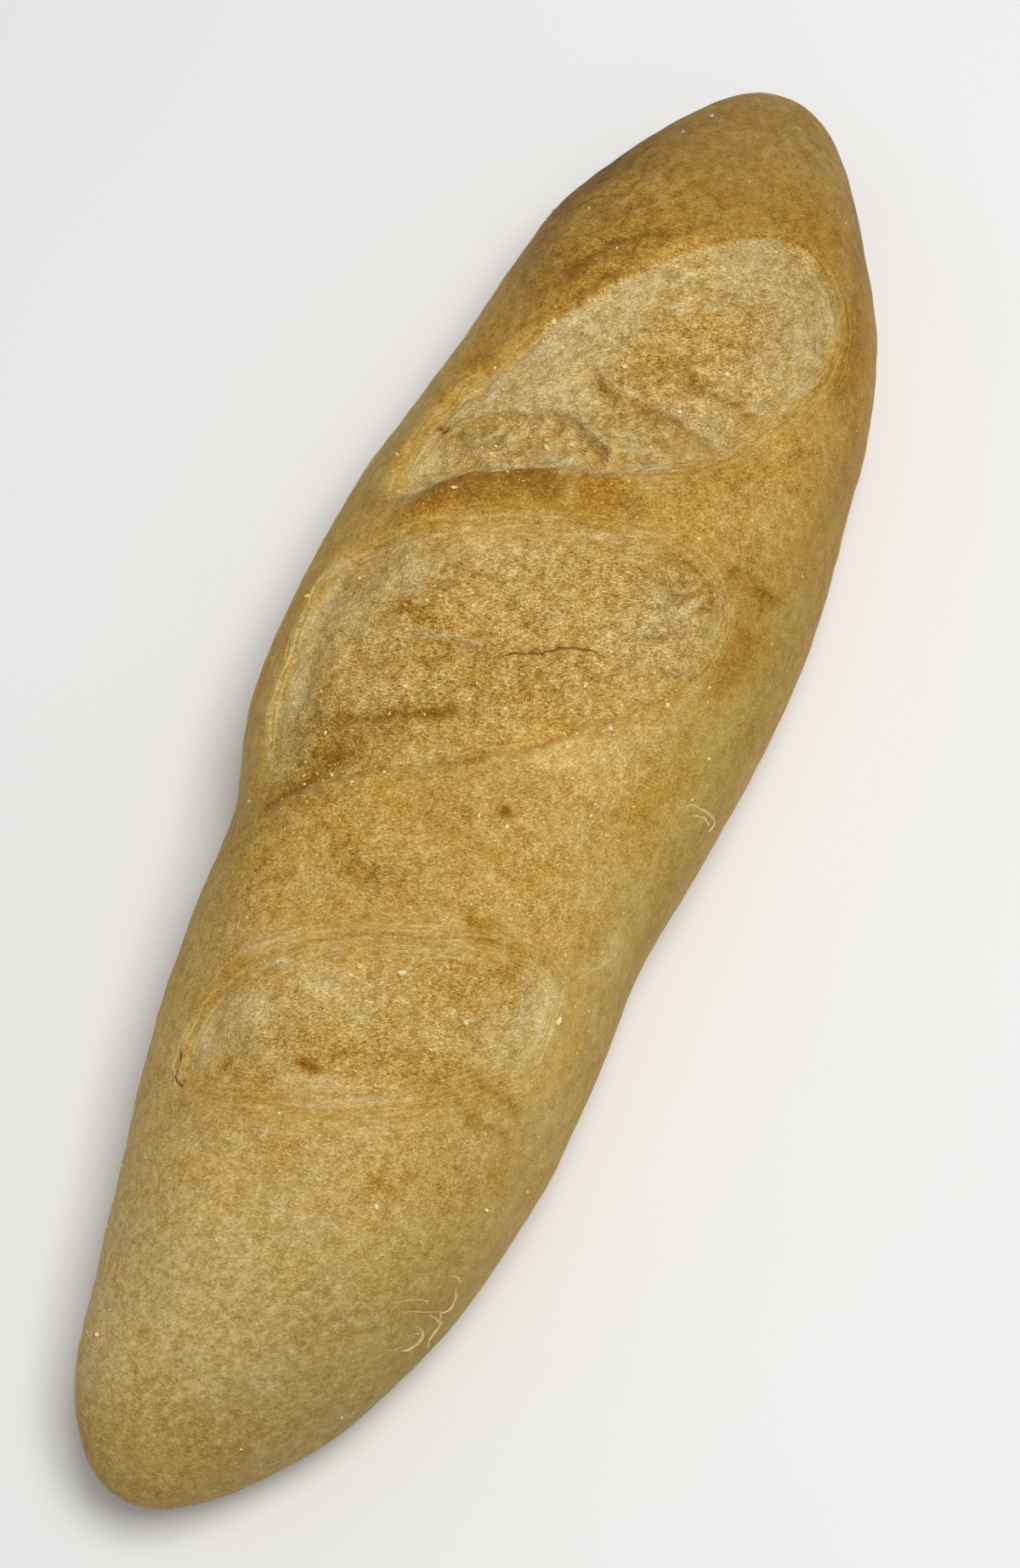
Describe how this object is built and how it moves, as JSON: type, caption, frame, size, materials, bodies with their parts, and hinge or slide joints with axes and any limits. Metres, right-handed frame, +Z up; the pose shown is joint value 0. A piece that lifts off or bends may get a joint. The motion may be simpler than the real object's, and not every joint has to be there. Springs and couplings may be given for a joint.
{
  "type": "sourdough baguette",
  "caption": "Short plump sourdough baguette with round tapering ends, a flat base and diagonal slashes torn open on top, one with a rolled ear.",
  "frame": {"origin": "on the board under the middle of the loaf", "axes": "+X along the loaf towards the end with the deepest slash, +Y across it towards the slashes' pointed tips, +Z up"},
  "size_m": [0.31, 0.0974, 0.0679],
  "materials": {
    "crust": "matt golden bread crust, floury and paler in the slashes"
  },
  "bodies": {
    "root": {"loaf": "crust"}
  },
  "joints": []
}
